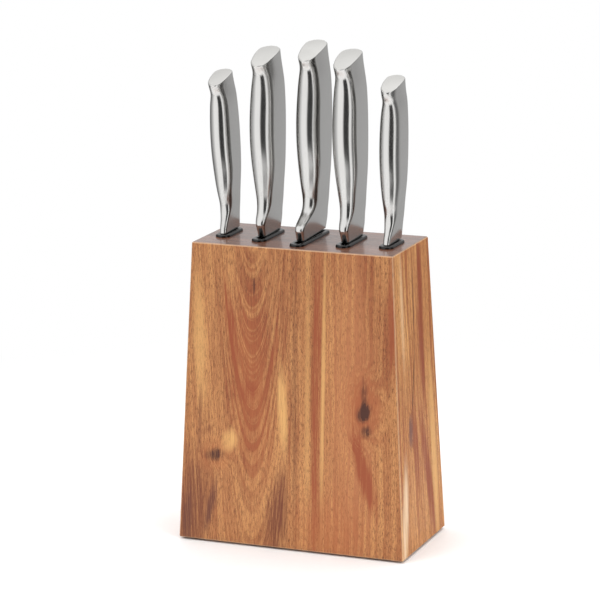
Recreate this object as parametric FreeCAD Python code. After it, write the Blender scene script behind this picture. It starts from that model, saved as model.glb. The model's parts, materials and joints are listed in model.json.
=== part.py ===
import FreeCAD, Part
import math
import os

# Knife block with five knives. Millimetres, +Z up, the front of the block faces -Y.
# The origin is on the table under the middle of the block.

# ---- blades and block ----
LONG_BLADE = 200.0          # bread, cook's and carving knife
UTILITY_BLADE = 130.0
PARING_BLADE = 90.0
TIP_ROOM = 6.5              # under the tip of a long blade
SLOT_INNER_X = 32.0         # the slots stand at 0 and at plus and minus these
SLOT_OUTER_X = 62.3
SLOT_Y = -0.9               # middle of every slot, front to back
SLEEVE_ROOM_X = 1.45        # wood left between the outer slots' sleeves and the side boards
SLEEVE_ROOM_Y = 1.4         # and between the longest sleeve and the front and back boards
FLARE_X = 10.5              # how much wider the base is on each side
FLARE_Y = 8.25
WALL = 9.0                  # board thickness, measured level
TOP_THICK = 13.0            # top panel
BASE_THICK = 12.0           # base panel
EDGE_BREAK = 0.8            # small chamfer on the outside edges
FRONT_JOINT_X = -1.7        # glue line between the two front boards
BACK_JOINT_X = 5.0          # glue line between the two back boards
FOOT_RADIUS = 6.0
FOOT_PROUD = 1.5            # how far the feet hold the wood off the table
FOOT_SUNK = 1.5             # depth of the recess each foot is glued into
FOOT_INSET_X = 24.0         # foot centre in from the outside of the base
FOOT_INSET_Y = 20.0

# ---- slot liners ----
SIDE_ROOM = 1.2             # slot past the blade on each side
SLEEVE_WALL = 1.2
FLANGE_SIDE_LIP = 2.0       # flange past the sleeve at the sides
FLANGE_END_LIP = 4.0        # flange past the opening at each end
FLANGE_PROUD = 1.8
FLANGE_ROUND = 1.1          # rounding of the flange's upper rim
REST_GAP = 0.3              # bolster held this far above the flange

# ---- knives ----
BLADE_THICK = 2.2           # at the spine
EDGE_THICK = 0.4            # at the cutting edge
TANG_LENGTH = 8.0           # tang let into the bolster
TANG_FRONT = 4.0            # tang kept back from the heel's front corner
TANG_BACK = 3.0             # and from the spine
BOLSTER_LENGTH = 12.0       # solid foot of the handle
SPIGOT_LENGTH = 7.0         # bolster neck inside the shells
SHELL_WALL = 1.3            # sheet thickness of the hollow handle
CAP_THICK = 3.2             # butt cap
BUTT_SLOPE = 0.31           # rise of the butt face from the lip to the spine
BUTT_DOME_RADIUS = 150.0
SCALLOP_PITCH = 6.0
SCALLOP_DEPTH = 1.2
SCALLOP_STEPS = 6           # straight runs in each scallop
OUTLINE_STEPS = 24
SPINE_STRAIGHT = 0.55       # share of the blade before the spine starts to fall
FULL_THICK_SHARE = 0.25     # share of the width that keeps the full thickness
TIP_BLUNT = 1.2
EDGE_END = 0.985            # where the edge meets the tip
TIP_DROP = {"curved": 0.34, "straight": 0.30, "scalloped": 0.12}
EDGE_POWER = {"curved": 1.9, "straight": 4.2, "scalloped": 7.0}

# Stations of the handle, heights above the bolster's underside:
# height, front reach, back reach, half width at front, half width at back,
# front rounding across, front rounding fore-and-aft, back rounding, swell of the cheeks
# as a share of their width
LARGE_STATIONS = [
    (0.0, -30.2, 1.5, 2.8, 2.6, 0.8, 0.8, 1.6, 0.06),
    (5.0, -32.0, 1.4, 3.1, 3.5, 0.9, 0.9, 1.8, 0.06),
    (10.0, -33.6, 0.8, 3.5, 4.4, 1.2, 1.2, 2.0, 0.06),
    (16.0, -30.6, -0.3, 4.3, 5.2, 2.8, 3.3, 2.2, 0.06),
    (22.0, -28.6, -0.8, 5.2, 6.0, 4.4, 5.5, 2.4, 0.06),
    (32.0, -29.2, -0.4, 6.3, 6.6, 5.5, 6.5, 2.7, 0.06),
    (48.0, -31.6, 0.3, 8.0, 7.6, 7.0, 8.0, 3.2, 0.06),
    (66.0, -34.6, 0.8, 8.6, 8.1, 7.7, 8.8, 3.5, 0.06),
    (86.0, -35.0, 0.7, 8.6, 8.3, 7.8, 8.8, 3.6, 0.06),
    (102.0, -33.4, -0.4, 8.1, 8.3, 7.2, 8.3, 3.6, 0.06),
    (112.0, -33.6, -1.8, 6.8, 8.2, 5.6, 7.5, 3.8, 0.08),
    (119.0, -36.6, -2.9, 5.2, 7.8, 4.4, 6.5, 4.2, 0.14),
    (125.0, -38.2, -3.8, 4.7, 7.6, 4.0, 6.5, 4.6, 0.18),
    (138.0, -38.8, -5.2, 4.4, 7.4, 3.8, 6.5, 5.0, 0.20),
]
SMALL_STATIONS = [
    (0.0, -26.8, 0.8, 2.4, 2.2, 0.7, 0.7, 1.4, 0.06),
    (4.5, -25.6, 0.0, 2.7, 3.0, 0.8, 0.8, 1.5, 0.06),
    (9.0, -23.6, -1.2, 3.1, 3.8, 1.3, 1.4, 1.7, 0.06),
    (14.0, -21.8, -1.9, 3.8, 4.5, 2.6, 3.0, 1.9, 0.06),
    (19.0, -21.5, -2.1, 4.5, 5.1, 3.8, 4.7, 2.0, 0.06),
    (28.0, -23.2, -1.5, 5.4, 5.6, 4.7, 5.5, 2.3, 0.06),
    (41.5, -25.0, -0.5, 6.8, 6.5, 6.0, 6.8, 2.7, 0.06),
    (57.0, -27.2, 0.3, 7.3, 6.9, 6.5, 7.5, 3.0, 0.06),
    (74.0, -27.9, -0.1, 7.3, 7.1, 6.6, 7.5, 3.1, 0.06),
    (88.0, -27.2, -1.2, 6.9, 7.1, 6.1, 7.1, 3.1, 0.06),
    (96.5, -27.5, -2.1, 5.9, 7.0, 4.9, 6.4, 3.3, 0.08),
    (102.5, -29.2, -2.9, 4.6, 6.7, 3.9, 5.7, 3.6, 0.14),
    (108.0, -30.9, -3.6, 4.1, 6.5, 3.5, 5.6, 3.9, 0.18),
    (120.0, -32.2, -5.2, 3.8, 6.4, 3.3, 5.6, 4.2, 0.20),
]
# share of a deeper guard's extra reach that is left at each of the lowest stations
GUARD_SHARES = [1.0, 0.97, 0.87, 0.33, 0.04]
COOK_STRETCH = 1.04         # the cook's handle is a little longer above its neck
NECK_HEIGHT = 22.0

# Each knife: slot x; lean to the left and to the front in degrees; height of the butt at
# the spine line; blade length; blade width at the heel; extra length of its slot and how
# much of it lies behind the blade; blade spine inside the bolster's back; bolster past the
# heel at the front
KNIVES = {
    "utility": dict(x=-SLOT_OUTER_X, lean=1.8, forward=1.0, butt=117.5, blade=UTILITY_BLADE,
                    heel=21.0, room=4.0, back_room=1.6, inset=3.0, cover=2.8,
                    handle="small", edge="straight"),
    "bread": dict(x=-SLOT_INNER_X, lean=-0.6, forward=1.0, butt=135.5, blade=LONG_BLADE,
                  heel=28.0, room=8.5, back_room=3.05, inset=1.5, cover=0.7,
                  handle="large", edge="scalloped"),
    "cook": dict(x=0.0, lean=-1.3, forward=2.0, butt=139.8, blade=LONG_BLADE,
                 heel=42.5, room=8.5, back_room=2.0, inset=1.0, cover=0.7,
                 handle="stretched", edge="curved"),
    "carving": dict(x=SLOT_INNER_X, lean=0.0, forward=1.0, butt=136.3, blade=LONG_BLADE,
                    heel=28.0, room=8.0, back_room=3.6, inset=1.5, cover=0.7,
                    handle="large", edge="straight"),
    "paring": dict(x=SLOT_OUTER_X, lean=-1.3, forward=1.0, butt=119.2, blade=PARING_BLADE,
                   heel=19.0, room=5.0, back_room=1.0, inset=3.5, cover=4.3,
                   handle="small", edge="straight"),
}

# ---- worked out ----
BLOCK_HEIGHT = FOOT_PROUD + BASE_THICK + TIP_ROOM + LONG_BLADE
LONGEST_OPENING = max(k["heel"] + k["room"] for k in KNIVES.values())
OPENING_WIDTH = BLADE_THICK + 2.0 * SIDE_ROOM
SLEEVE_WIDTH = OPENING_WIDTH + 2.0 * SLEEVE_WALL
TOP_WIDTH = 2.0 * (SLOT_OUTER_X + 0.5 * SLEEVE_WIDTH + SLEEVE_ROOM_X + WALL)
TOP_DEPTH = LONGEST_OPENING + 2.0 * (SLEEVE_WALL + SLEEVE_ROOM_Y + WALL)
BASE_WIDTH = TOP_WIDTH + 2.0 * FLARE_X
BASE_DEPTH = TOP_DEPTH + 2.0 * FLARE_Y
FLANGE_WIDTH = SLEEVE_WIDTH + 2.0 * FLANGE_SIDE_LIP
FLANGE_TOP = BLOCK_HEIGHT + FLANGE_PROUD


def vec(x, y, z):
    return FreeCAD.Vector(x, y, z)


def polyhedron(low, high):
    """Solid between two rings of corners, both counter-clockwise seen from above."""
    count = len(low)
    turned = low[::-1]
    faces = [Part.Face(Part.makePolygon(turned + turned[:1])),
             Part.Face(Part.makePolygon(high + high[:1]))]
    for i in range(count):
        j = (i + 1) % count
        ring = [low[i], low[j], high[j], high[i], low[i]]
        faces.append(Part.Face(Part.makePolygon(ring)))
    return Part.Solid(Part.Shell(faces))


def half_size(z):
    """Half width and half depth of the block's outside at height z."""
    t = z / BLOCK_HEIGHT
    half_x = (BASE_WIDTH + (TOP_WIDTH - BASE_WIDTH) * t) / 2.0
    half_y = (BASE_DEPTH + (TOP_DEPTH - BASE_DEPTH) * t) / 2.0
    return half_x, half_y


def ring(z, inset):
    """Four corners of the block at height z, moved in by inset, from front left round."""
    hx, hy = half_size(z)
    hx -= inset
    hy -= inset
    return [vec(-hx, -hy, z), vec(hx, -hy, z), vec(hx, hy, z), vec(-hx, hy, z)]


def block_outside():
    """The block's outside with its edges broken."""
    solid = polyhedron(ring(FOOT_PROUD, 0.0), ring(BLOCK_HEIGHT, 0.0))
    return solid.makeChamfer(EDGE_BREAK, solid.Edges).Solids[0]


def wall(first, second, cut_low=None, cut_high=None):
    """Board between two corners of the block, mitred to its neighbours and to the top.

    cut_low and cut_high replace an end with an upright cut at that x.
    """
    inner_top = BLOCK_HEIGHT - TOP_THICK
    outer_low = ring(FOOT_PROUD, 0.0)
    inner_low = ring(FOOT_PROUD, WALL)
    outer_high = ring(BLOCK_HEIGHT, 0.0)
    inner_high = ring(inner_top, WALL)
    quads = []
    for outer, inner in ((outer_low, inner_low), (outer_high, inner_high)):
        quad = [outer[first], outer[second], inner[second], inner[first]]
        if cut_low is not None:
            quad[0] = vec(cut_low, quad[0].y, quad[0].z)
            quad[3] = vec(cut_low, quad[3].y, quad[3].z)
        if cut_high is not None:
            quad[1] = vec(cut_high, quad[1].y, quad[1].z)
            quad[2] = vec(cut_high, quad[2].y, quad[2].z)
        quads.append(quad)
    return polyhedron(quads[0], quads[1])


def stadium(length, width, z_low, z_high, x):
    """Upright prism with half-round ends, long along Y, in the row of slots."""
    r = width / 2.0
    straight = length / 2.0 - r
    height = z_high - z_low
    body = Part.makeBox(width, 2 * straight, height, vec(x - r, SLOT_Y - straight, z_low))
    for end in (-straight, straight):
        body = body.fuse(Part.makeCylinder(r, height, vec(x, SLOT_Y + end, z_low)))
    return body.removeSplitter()


def opening(knife):
    """Length of the knife's slot."""
    return knife["heel"] + knife["room"]


def liner(knife):
    """Plastic slot liner: a rounded flange on the top face and a sleeve through the panel."""
    low = BLOCK_HEIGHT - TOP_THICK
    flange = stadium(opening(knife) + 2 * FLANGE_END_LIP, FLANGE_WIDTH,
                     BLOCK_HEIGHT, FLANGE_TOP, knife["x"])
    rim = [e for e in flange.Edges if e.BoundBox.ZMin > FLANGE_TOP - 0.01]
    flange = flange.makeFillet(FLANGE_ROUND, rim)
    sleeve = sleeve_block(knife, low, BLOCK_HEIGHT)
    hole = stadium(opening(knife), OPENING_WIDTH, low - 1.0, FLANGE_TOP + 1.0, knife["x"])
    return flange.fuse(sleeve).removeSplitter().cut(hole)


def sleeve_block(knife, low, high):
    """Outside of a liner's sleeve, which is also the hole that it fills in the panel."""
    return stadium(opening(knife) + 2 * SLEEVE_WALL, SLEEVE_WIDTH, low, high, knife["x"])


def top_panel(outside):
    """Top panel with bevelled edges that meet the walls, and a hole for each liner."""
    low = BLOCK_HEIGHT - TOP_THICK
    panel = polyhedron(ring(low, WALL), ring(BLOCK_HEIGHT, 0.0)).common(outside)
    for knife in KNIVES.values():
        panel = panel.cut(sleeve_block(knife, low - 1.0, BLOCK_HEIGHT + 1.0))
    return panel


def foot_centres():
    hx = BASE_WIDTH / 2.0 - FOOT_INSET_X
    hy = BASE_DEPTH / 2.0 - FOOT_INSET_Y
    return {"front_left": (-hx, -hy), "front_right": (hx, -hy),
            "back_left": (-hx, hy), "back_right": (hx, hy)}


def foot(x, y):
    height = FOOT_PROUD + FOOT_SUNK
    return Part.makeCylinder(FOOT_RADIUS, height, vec(x, y, 0.0))


def base_panel():
    """Base panel let in between the walls, with a recess for each foot."""
    panel = polyhedron(ring(FOOT_PROUD, WALL), ring(FOOT_PROUD + BASE_THICK, WALL))
    for x, y in foot_centres().values():
        panel = panel.cut(foot(x, y))
    return panel


# ---- handle ----
def handle_stations(knife):
    """The handle's stations, with the guard reaching past the blade's heel."""
    rows = SMALL_STATIONS if knife["handle"] == "small" else LARGE_STATIONS
    stretch = COOK_STRETCH if knife["handle"] == "stretched" else 1.0
    guard = knife["inset"] + knife["heel"] + knife["cover"] + rows[0][1]
    stations = []
    for i, row in enumerate(rows):
        share = GUARD_SHARES[i] if i < len(GUARD_SHARES) else 0.0
        height = row[0]
        if height > NECK_HEIGHT:
            height = NECK_HEIGHT + (height - NECK_HEIGHT) * stretch
        stations.append((height, row[1] - guard * share) + row[2:])
    return stations


def half_outline(station, shrink):
    """Points of one half of a handle section, from the middle of the front to the back.

    An elliptical corner at the front, a slightly swollen cheek, a round corner at the back.
    """
    height, front, back, half_front, half_back, round_x, round_y, round_back, swell = station
    front += shrink
    back -= shrink
    half_front -= shrink
    half_back -= shrink
    round_x = max(round_x - shrink * 0.6, 0.4)
    round_y = max(round_y - shrink * 0.6, 0.4)
    round_back = max(round_back - shrink * 0.6, 0.4)
    round_x = min(round_x, half_front - 0.3)
    flat = []
    steps = 6
    flat.append((0.0, front))
    for i in range(steps + 1):
        a = math.pi / 2.0 * i / steps
        flat.append((half_front - round_x + round_x * math.sin(a),
                     front + round_y - round_y * math.cos(a)))
    start = flat[-1]
    end = (half_back, back - round_back)
    for i in range(1, steps):
        t = i / float(steps)
        flat.append((start[0] + (end[0] - start[0]) * t, start[1] + (end[1] - start[1]) * t))
    for i in range(steps + 1):
        a = math.pi / 2.0 * i / steps
        flat.append((half_back - round_back + round_back * math.cos(a),
                     back - round_back + round_back * math.sin(a)))
    flat.append((0.0, back))
    points = []
    for x, y in flat:
        e = (2.0 * y - front - back) / (back - front)
        points.append(vec(x * (1.0 + swell * (1.0 - e * e)), y, height))
    return points


def half_wire(station, shrink):
    points = half_outline(station, shrink)
    curve = Part.BSplineCurve()
    curve.interpolate(points)
    close = Part.makeLine(points[-1], points[0])
    return Part.Wire([curve.toShape(), close])


def half_handle(stations, shrink):
    """Solid right half of the handle, the flat side on the middle plane."""
    wires = [half_wire(row, shrink) for row in stations]
    return Part.makeLoft(wires, True, False)


def other_hand(shape):
    """The same shape mirrored across the knife's middle plane."""
    return shape.mirror(vec(0, 0, 0), vec(1, 0, 0))


def slab(z_low, z_high):
    """Level slab, big enough for any handle."""
    return Part.makeBox(200.0, 200.0, z_high - z_low, vec(-100.0, -100.0, z_low))


def below_butt(height, drop):
    """Everything under the sloping butt plane moved down by drop."""
    reach = 100.0
    low = [vec(-50, -reach, -20), vec(50, -reach, -20), vec(50, reach, -20), vec(-50, reach, -20)]
    front = height - drop - BUTT_SLOPE * reach
    back = height - drop + BUTT_SLOPE * reach
    high = [vec(-50, -reach, front), vec(50, -reach, front),
            vec(50, reach, back), vec(-50, reach, back)]
    return polyhedron(low, high)


def butt_dome(height, middle_y, rise):
    """Ball whose top skims the butt face, a little proud of its plane in the middle."""
    tilt = math.atan(BUTT_SLOPE)
    depth = BUTT_DOME_RADIUS - rise
    top = vec(0.0, middle_y, height + BUTT_SLOPE * middle_y)
    centre = top + vec(0.0, math.sin(tilt) * depth, -math.cos(tilt) * depth)
    return Part.makeSphere(BUTT_DOME_RADIUS, centre)


def blade_outline(knife):
    """Corner points of the blade's side view as (y, depth below the bolster).

    The spine runs straight, then falls to the tip; the edge comes back to the heel, in
    hollow scallops on the bread knife.
    """
    length, heel = knife["blade"], knife["heel"]
    drop = TIP_DROP[knife["edge"]] * heel
    power = EDGE_POWER[knife["edge"]]
    points = [(0.0, 0.0)]
    for i in range(1, OUTLINE_STEPS):
        t = i / float(OUTLINE_STEPS)
        fall = max(0.0, (t - SPINE_STRAIGHT) / (1.0 - SPINE_STRAIGHT))
        points.append((-drop * fall ** 2.2, length * t))
    points.append((-drop - TIP_BLUNT / 2.0, length))
    steps = OUTLINE_STEPS
    if knife["edge"] == "scalloped":
        steps = int(length / SCALLOP_PITCH) * SCALLOP_STEPS
    for i in range(steps, -1, -1):
        t = EDGE_END * i / float(steps)
        rise = (heel - drop - TIP_BLUNT) * t ** power
        if knife["edge"] == "scalloped":
            share = (i % SCALLOP_STEPS) / float(SCALLOP_STEPS)
            rise += SCALLOP_DEPTH * math.sin(math.pi * share) * (1.0 - t ** power)
        points.append((-heel + rise, length * t))
    return points


def blade(knife):
    """Blade with its tang, hanging down from the bolster's underside; spine at the back."""
    points = [vec(-BLADE_THICK / 2.0, y, -depth) for y, depth in blade_outline(knife)]
    face = Part.Face(Part.makePolygon(points + points[:1]))
    plate = face.extrude(vec(BLADE_THICK, 0.0, 0.0))
    length, heel = knife["blade"], knife["heel"]
    # thinned from near the spine to the edge
    half, edge_half = BLADE_THICK / 2.0, EDGE_THICK / 2.0
    full_y = -heel * FULL_THICK_SHARE
    edge_y = -heel - 1.0
    section = [(-edge_half, edge_y), (edge_half, edge_y), (half, full_y), (half, 1.0),
               (-half, 1.0), (-half, full_y)]
    low = [vec(x, y, -length - 5.0) for x, y in section]
    high = [vec(x, y, 5.0) for x, y in section]
    plate = plate.common(polyhedron(low, high))
    solid = plate.fuse(tang_box(knife, 0.0)).removeSplitter()
    solid.translate(vec(0.0, -knife["inset"], 0.0))
    return solid


def tang_box(knife, extra):
    width = knife["heel"] - TANG_FRONT - TANG_BACK
    return Part.makeBox(BLADE_THICK, width, TANG_LENGTH + extra,
                        vec(-BLADE_THICK / 2.0, -knife["heel"] + TANG_FRONT, -extra))


def knife_parts(knife):
    """Blade, bolster, two handle shells and butt cap, upright with the bolster at z=0."""
    height = knife["butt"]
    stations = handle_stations(knife)
    middle_y = (stations[-1][1] + stations[-1][2]) / 2.0
    right = half_handle(stations, 0.0)
    right_in = half_handle(stations, SHELL_WALL)
    whole = right.fuse(other_hand(right)).removeSplitter()
    core = right_in.fuse(other_hand(right_in)).removeSplitter()

    tang_hole = tang_box(knife, 1.0)
    tang_hole.translate(vec(0.0, -knife["inset"], 0.0))
    foot_block = whole.common(slab(0.0, BOLSTER_LENGTH))
    spigot = core.common(slab(BOLSTER_LENGTH - 1.0, BOLSTER_LENGTH + SPIGOT_LENGTH))
    bolster = foot_block.fuse(spigot).removeSplitter().cut(tang_hole)

    shell_zone = below_butt(height, CAP_THICK).common(slab(BOLSTER_LENGTH, 400.0))
    right_shell = right.common(shell_zone).cut(right_in)

    capped = whole.common(below_butt(height, -2.0)).cut(below_butt(height, CAP_THICK))
    cap = capped.common(butt_dome(height, middle_y, 1.2))
    parts = {"blade": blade(knife), "bolster": bolster, "butt_cap": cap,
             "shell_left": other_hand(right_shell), "shell_right": right_shell}
    back = SLOT_Y + opening(knife) / 2.0 - knife["back_room"] + knife["inset"]
    front_reach = -stations[0][1] - back
    rest = FLANGE_TOP + REST_GAP + front_reach * math.sin(math.radians(knife["forward"]))
    for shape in parts.values():
        shape.translate(vec(0.0, back, 0.0))
        shape.rotate(vec(0, 0, 0), vec(0, 1, 0), -knife["lean"])
        shape.rotate(vec(0, 0, 0), vec(1, 0, 0), knife["forward"])
        shape.translate(vec(knife["x"], 0.0, rest))
    return parts


def build():
    outside = block_outside()
    nodes = {
        "front_board_left": wall(0, 1, cut_high=FRONT_JOINT_X).common(outside),
        "front_board_right": wall(0, 1, cut_low=FRONT_JOINT_X).common(outside),
        "side_board_right": wall(1, 2).common(outside),
        "back_board_right": wall(2, 3, cut_high=BACK_JOINT_X).common(outside),
        "back_board_left": wall(2, 3, cut_low=BACK_JOINT_X).common(outside),
        "side_board_left": wall(3, 0).common(outside),
        "top_panel": top_panel(outside),
        "base_panel": base_panel(),
    }
    for name, (x, y) in foot_centres().items():
        nodes["foot_" + name] = foot(x, y)
    for name, knife in KNIVES.items():
        nodes["liner_" + name] = liner(knife)
        for piece, shape in knife_parts(knife).items():
            nodes[name + "_" + piece] = shape
    return nodes


os.makedirs("parts", exist_ok=True)
for node_name, node_shape in build().items():
    solids = node_shape.Solids
    if len(solids) == 1:
        node_shape = solids[0]
    print(node_name, len(solids), node_shape.isValid(), round(node_shape.Volume))
    node_shape.exportStep("parts/" + node_name + ".step")
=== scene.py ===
import json
import math

import bpy
import numpy as np
from mathutils import Matrix, Vector


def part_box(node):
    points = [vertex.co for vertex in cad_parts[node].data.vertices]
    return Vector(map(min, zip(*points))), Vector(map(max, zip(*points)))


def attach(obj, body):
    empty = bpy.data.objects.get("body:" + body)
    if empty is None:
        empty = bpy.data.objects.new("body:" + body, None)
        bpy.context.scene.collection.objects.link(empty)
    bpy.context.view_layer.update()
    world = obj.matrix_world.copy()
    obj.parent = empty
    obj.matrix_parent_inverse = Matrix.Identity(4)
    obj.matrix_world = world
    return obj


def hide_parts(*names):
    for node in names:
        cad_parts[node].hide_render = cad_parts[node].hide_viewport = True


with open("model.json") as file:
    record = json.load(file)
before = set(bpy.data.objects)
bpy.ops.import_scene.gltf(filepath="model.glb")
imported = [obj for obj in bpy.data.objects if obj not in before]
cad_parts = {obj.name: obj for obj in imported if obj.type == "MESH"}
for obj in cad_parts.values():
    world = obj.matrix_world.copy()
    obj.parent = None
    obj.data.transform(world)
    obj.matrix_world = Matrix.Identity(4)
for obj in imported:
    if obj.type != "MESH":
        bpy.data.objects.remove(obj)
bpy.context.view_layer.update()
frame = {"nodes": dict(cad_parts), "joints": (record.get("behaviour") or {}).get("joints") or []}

# Knife block with five steel-handled knives. Shapes are worked out in millimetres in each
# part's own frame and put into the meshes in metres.

MM = 0.001                  # metres in a millimetre
QUARTER = math.pi / 2.0

# ---- handle ----
# Stations up the handle: height, front reach, back reach, half width at the front, half
# width at the back, front rounding across, front rounding fore-and-aft, back rounding,
# swell of the cheeks as a share of their width.
LARGE_HANDLE = np.array([
    (0.0, -30.2, 1.5, 2.8, 2.6, 2.0, 2.2, 1.6, 0.06),
    (5.0, -32.0, 1.4, 3.1, 3.5, 2.3, 2.6, 1.8, 0.06),
    (10.0, -33.6, 0.8, 3.5, 4.4, 2.6, 2.8, 2.0, 0.06),
    (16.0, -30.6, -0.3, 4.3, 5.2, 3.3, 3.8, 2.2, 0.06),
    (22.0, -28.6, -0.8, 5.2, 6.0, 4.4, 5.5, 2.4, 0.06),
    (32.0, -29.2, -0.4, 6.3, 6.6, 5.5, 6.5, 2.7, 0.06),
    (48.0, -31.6, 0.3, 8.0, 7.6, 7.0, 8.0, 3.2, 0.06),
    (66.0, -34.6, 0.8, 8.6, 8.1, 7.7, 8.8, 3.5, 0.06),
    (86.0, -35.0, 0.7, 8.6, 8.3, 7.8, 8.8, 3.6, 0.06),
    (102.0, -33.4, -0.4, 8.1, 8.3, 7.2, 8.3, 3.6, 0.06),
    (111.0, -32.8, -1.7, 7.2, 8.2, 6.2, 8.0, 3.9, 0.08),
    (118.5, -33.6, -2.9, 6.0, 7.7, 5.5, 8.0, 4.8, 0.16),
    (124.5, -37.3, -3.7, 5.6, 7.2, 5.2, 9.0, 5.8, 0.24),
    (131.0, -38.8, -4.6, 5.6, 6.8, 5.3, 10.0, 6.4, 0.30),
    (138.0, -39.0, -5.2, 5.6, 6.7, 5.3, 10.0, 6.4, 0.30)])
SMALL_HANDLE = np.array([
    (0.0, -26.8, 0.8, 2.4, 2.2, 1.7, 1.9, 1.4, 0.06),
    (4.5, -25.6, 0.0, 2.7, 3.0, 2.0, 2.2, 1.5, 0.06),
    (9.0, -23.6, -1.2, 3.1, 3.8, 2.4, 2.6, 1.7, 0.06),
    (14.0, -21.8, -1.9, 3.8, 4.5, 2.6, 3.0, 1.9, 0.06),
    (19.0, -21.5, -2.1, 4.5, 5.1, 3.8, 4.7, 2.0, 0.06),
    (28.0, -23.2, -1.5, 5.4, 5.6, 4.7, 5.5, 2.3, 0.06),
    (41.5, -25.0, -0.5, 6.8, 6.5, 6.0, 6.8, 2.7, 0.06),
    (57.0, -27.2, 0.3, 7.3, 6.9, 6.5, 7.5, 3.0, 0.06),
    (74.0, -27.9, -0.1, 7.3, 7.1, 6.6, 7.5, 3.1, 0.06),
    (88.0, -27.2, -1.2, 6.9, 7.1, 6.1, 7.1, 3.1, 0.06),
    (95.5, -26.8, -2.0, 6.2, 7.0, 5.4, 6.9, 3.4, 0.08),
    (101.5, -27.6, -2.8, 5.2, 6.8, 4.8, 6.8, 4.0, 0.13),
    (106.5, -30.6, -3.4, 4.8, 6.2, 4.4, 7.6, 4.9, 0.24),
    (112.0, -32.1, -4.2, 4.8, 5.8, 4.5, 8.4, 5.5, 0.30),
    (120.0, -32.4, -5.2, 4.8, 5.7, 4.5, 8.4, 5.5, 0.30)])
GUARD_SHARES = np.array([1.0, 0.97, 0.87, 0.33, 0.04])  # of the guard's reach, by station
COOK_STRETCH = 1.04         # of the cook's knife's grip above the neck
NECK_HEIGHT = 22.0
LEAST_FLAT = 0.3            # half width left flat on the narrowest front
BUTT_SLOPE = 0.31
BUTT_RISE = 1.2
BUTT_RADIUS = 150.0
BUTT_EDGE = 0.6             # rounding of the butt's rim
FOOT_EDGE = 0.35            # rounding of the bolster's underside

# Rings of mesh up a handle, in order: underside and its rounding, side, rim, butt face.
FOOT_RINGS = 5
SIDE_RINGS = 130
RIM_RINGS = 8
FACE_RINGS = 13

# ---- blades ----
BLADE_THICK = 2.2
EDGE_THICK = 0.4
FULL_THICK_SHARE = 0.25     # share of the width that is full thick, from the spine
SPINE_STRAIGHT = 0.55       # share of the length whose spine is straight, from the heel
SPINE_POWER = 2.2           # how suddenly the spine then falls to the tip
TIP_BLUNT = 1.2
TANG_RISE = 2.0             # how far the blade goes up into its bolster
SCALLOP_PITCH = 6.0
SCALLOP_DEPTH = 1.2
BLADE_ROWS = {"curved": 90, "straight": 90, "scalloped": 330}
TIP_DROP = {"curved": 0.34, "straight": 0.30, "scalloped": 0.12}
EDGE_POWER = {"curved": 1.9, "straight": 4.2, "scalloped": 7.0}
BEVEL = {"curved": 1.3, "straight": 1.1, "scalloped": 2.6}

# Each knife: handle, height of the butt at the spine line, blade length and heel width,
# blade spine inside the bolster's back, extra reach of the guard, slot length.
KNIVES = {
    "utility": dict(handle=SMALL_HANDLE, butt=117.5, blade=130.0, heel=21.0, inset=3.0,
                    guard=0.0, opening=25.0, edge="straight"),
    "bread": dict(handle=LARGE_HANDLE, butt=135.5, blade=200.0, heel=28.0, inset=1.5,
                  guard=0.0, opening=36.5, edge="scalloped"),
    "cook": dict(handle=LARGE_HANDLE, butt=139.8, blade=200.0, heel=42.5, inset=1.0,
                 guard=14.0, opening=51.0, edge="curved"),
    "carving": dict(handle=LARGE_HANDLE, butt=136.3, blade=200.0, heel=28.0, inset=1.5,
                    guard=0.0, opening=36.0, edge="straight"),
    "paring": dict(handle=SMALL_HANDLE, butt=119.2, blade=90.0, heel=19.0, inset=3.5,
                   guard=0.0, opening=24.0, edge="straight"),
}

# ---- slot liners and feet ----
OPENING_HALF = 2.3          # half width of the slot
SLEEVE_OUT = 1.2
SLEEVE_DEPTH = 13.0
FLANGE_OUT = 3.2
FLANGE_THICK = 1.8
FLANGE_END_EXTRA = 0.8      # how much further the flange reaches at its ends
FLANGE_ROUND = 1.1
MOUTH_ROUND = 0.5
FOOT_ROUND = 0.9
FOOT_HOLLOW = 0.15          # hollow in the middle of the sole


# ---- meshes ----
def mesh_piece(name, points, faces, sharp=35.0):
    """Smooth-shaded mesh object from points in metres, with creases over the sharp angle."""
    mesh = bpy.data.meshes.new(name)
    mesh.from_pydata(points.tolist(), [], faces)
    mesh.shade_smooth()
    mesh.set_sharp_from_angle(angle=math.radians(sharp))
    piece = bpy.data.objects.new(name, mesh)
    bpy.context.scene.collection.objects.link(piece)
    return piece


def closed_surface(name, grid, sharp=35.0):
    """Surface over a grid of rings, lowest ring first and each ring counter-clockwise from
    above. The first and last rings are closed with a fan to their middle."""
    rows, columns = grid.shape[:2]
    points = np.concatenate([grid.reshape(-1, 3), grid[:1].mean(1), grid[-1:].mean(1)])
    here = np.arange(rows * columns).reshape(rows, columns)
    after = np.roll(here, -1, axis=1)
    quads = np.stack([here[:-1], after[:-1], after[1:], here[1:]], -1).reshape(-1, 4)
    low = np.full(columns, rows * columns)
    bottom = np.stack([after[0], here[0], low], -1)
    top = np.stack([here[-1], after[-1], low + 1], -1)
    return mesh_piece(name, points, quads.tolist() + bottom.tolist() + top.tolist(), sharp)


def looped_surface(name, grid, sharp=35.0):
    """Surface over a grid that closes on itself both ways, like a ring of any section."""
    rows, columns = grid.shape[:2]
    here = np.arange(rows * columns).reshape(rows, columns)
    after = np.roll(here, -1, axis=1)
    quads = np.stack([here, after, np.roll(after, -1, axis=0), np.roll(here, -1, axis=0)], -1)
    return mesh_piece(name, grid.reshape(-1, 3), quads.reshape(-1, 4).tolist(), sharp)


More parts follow.
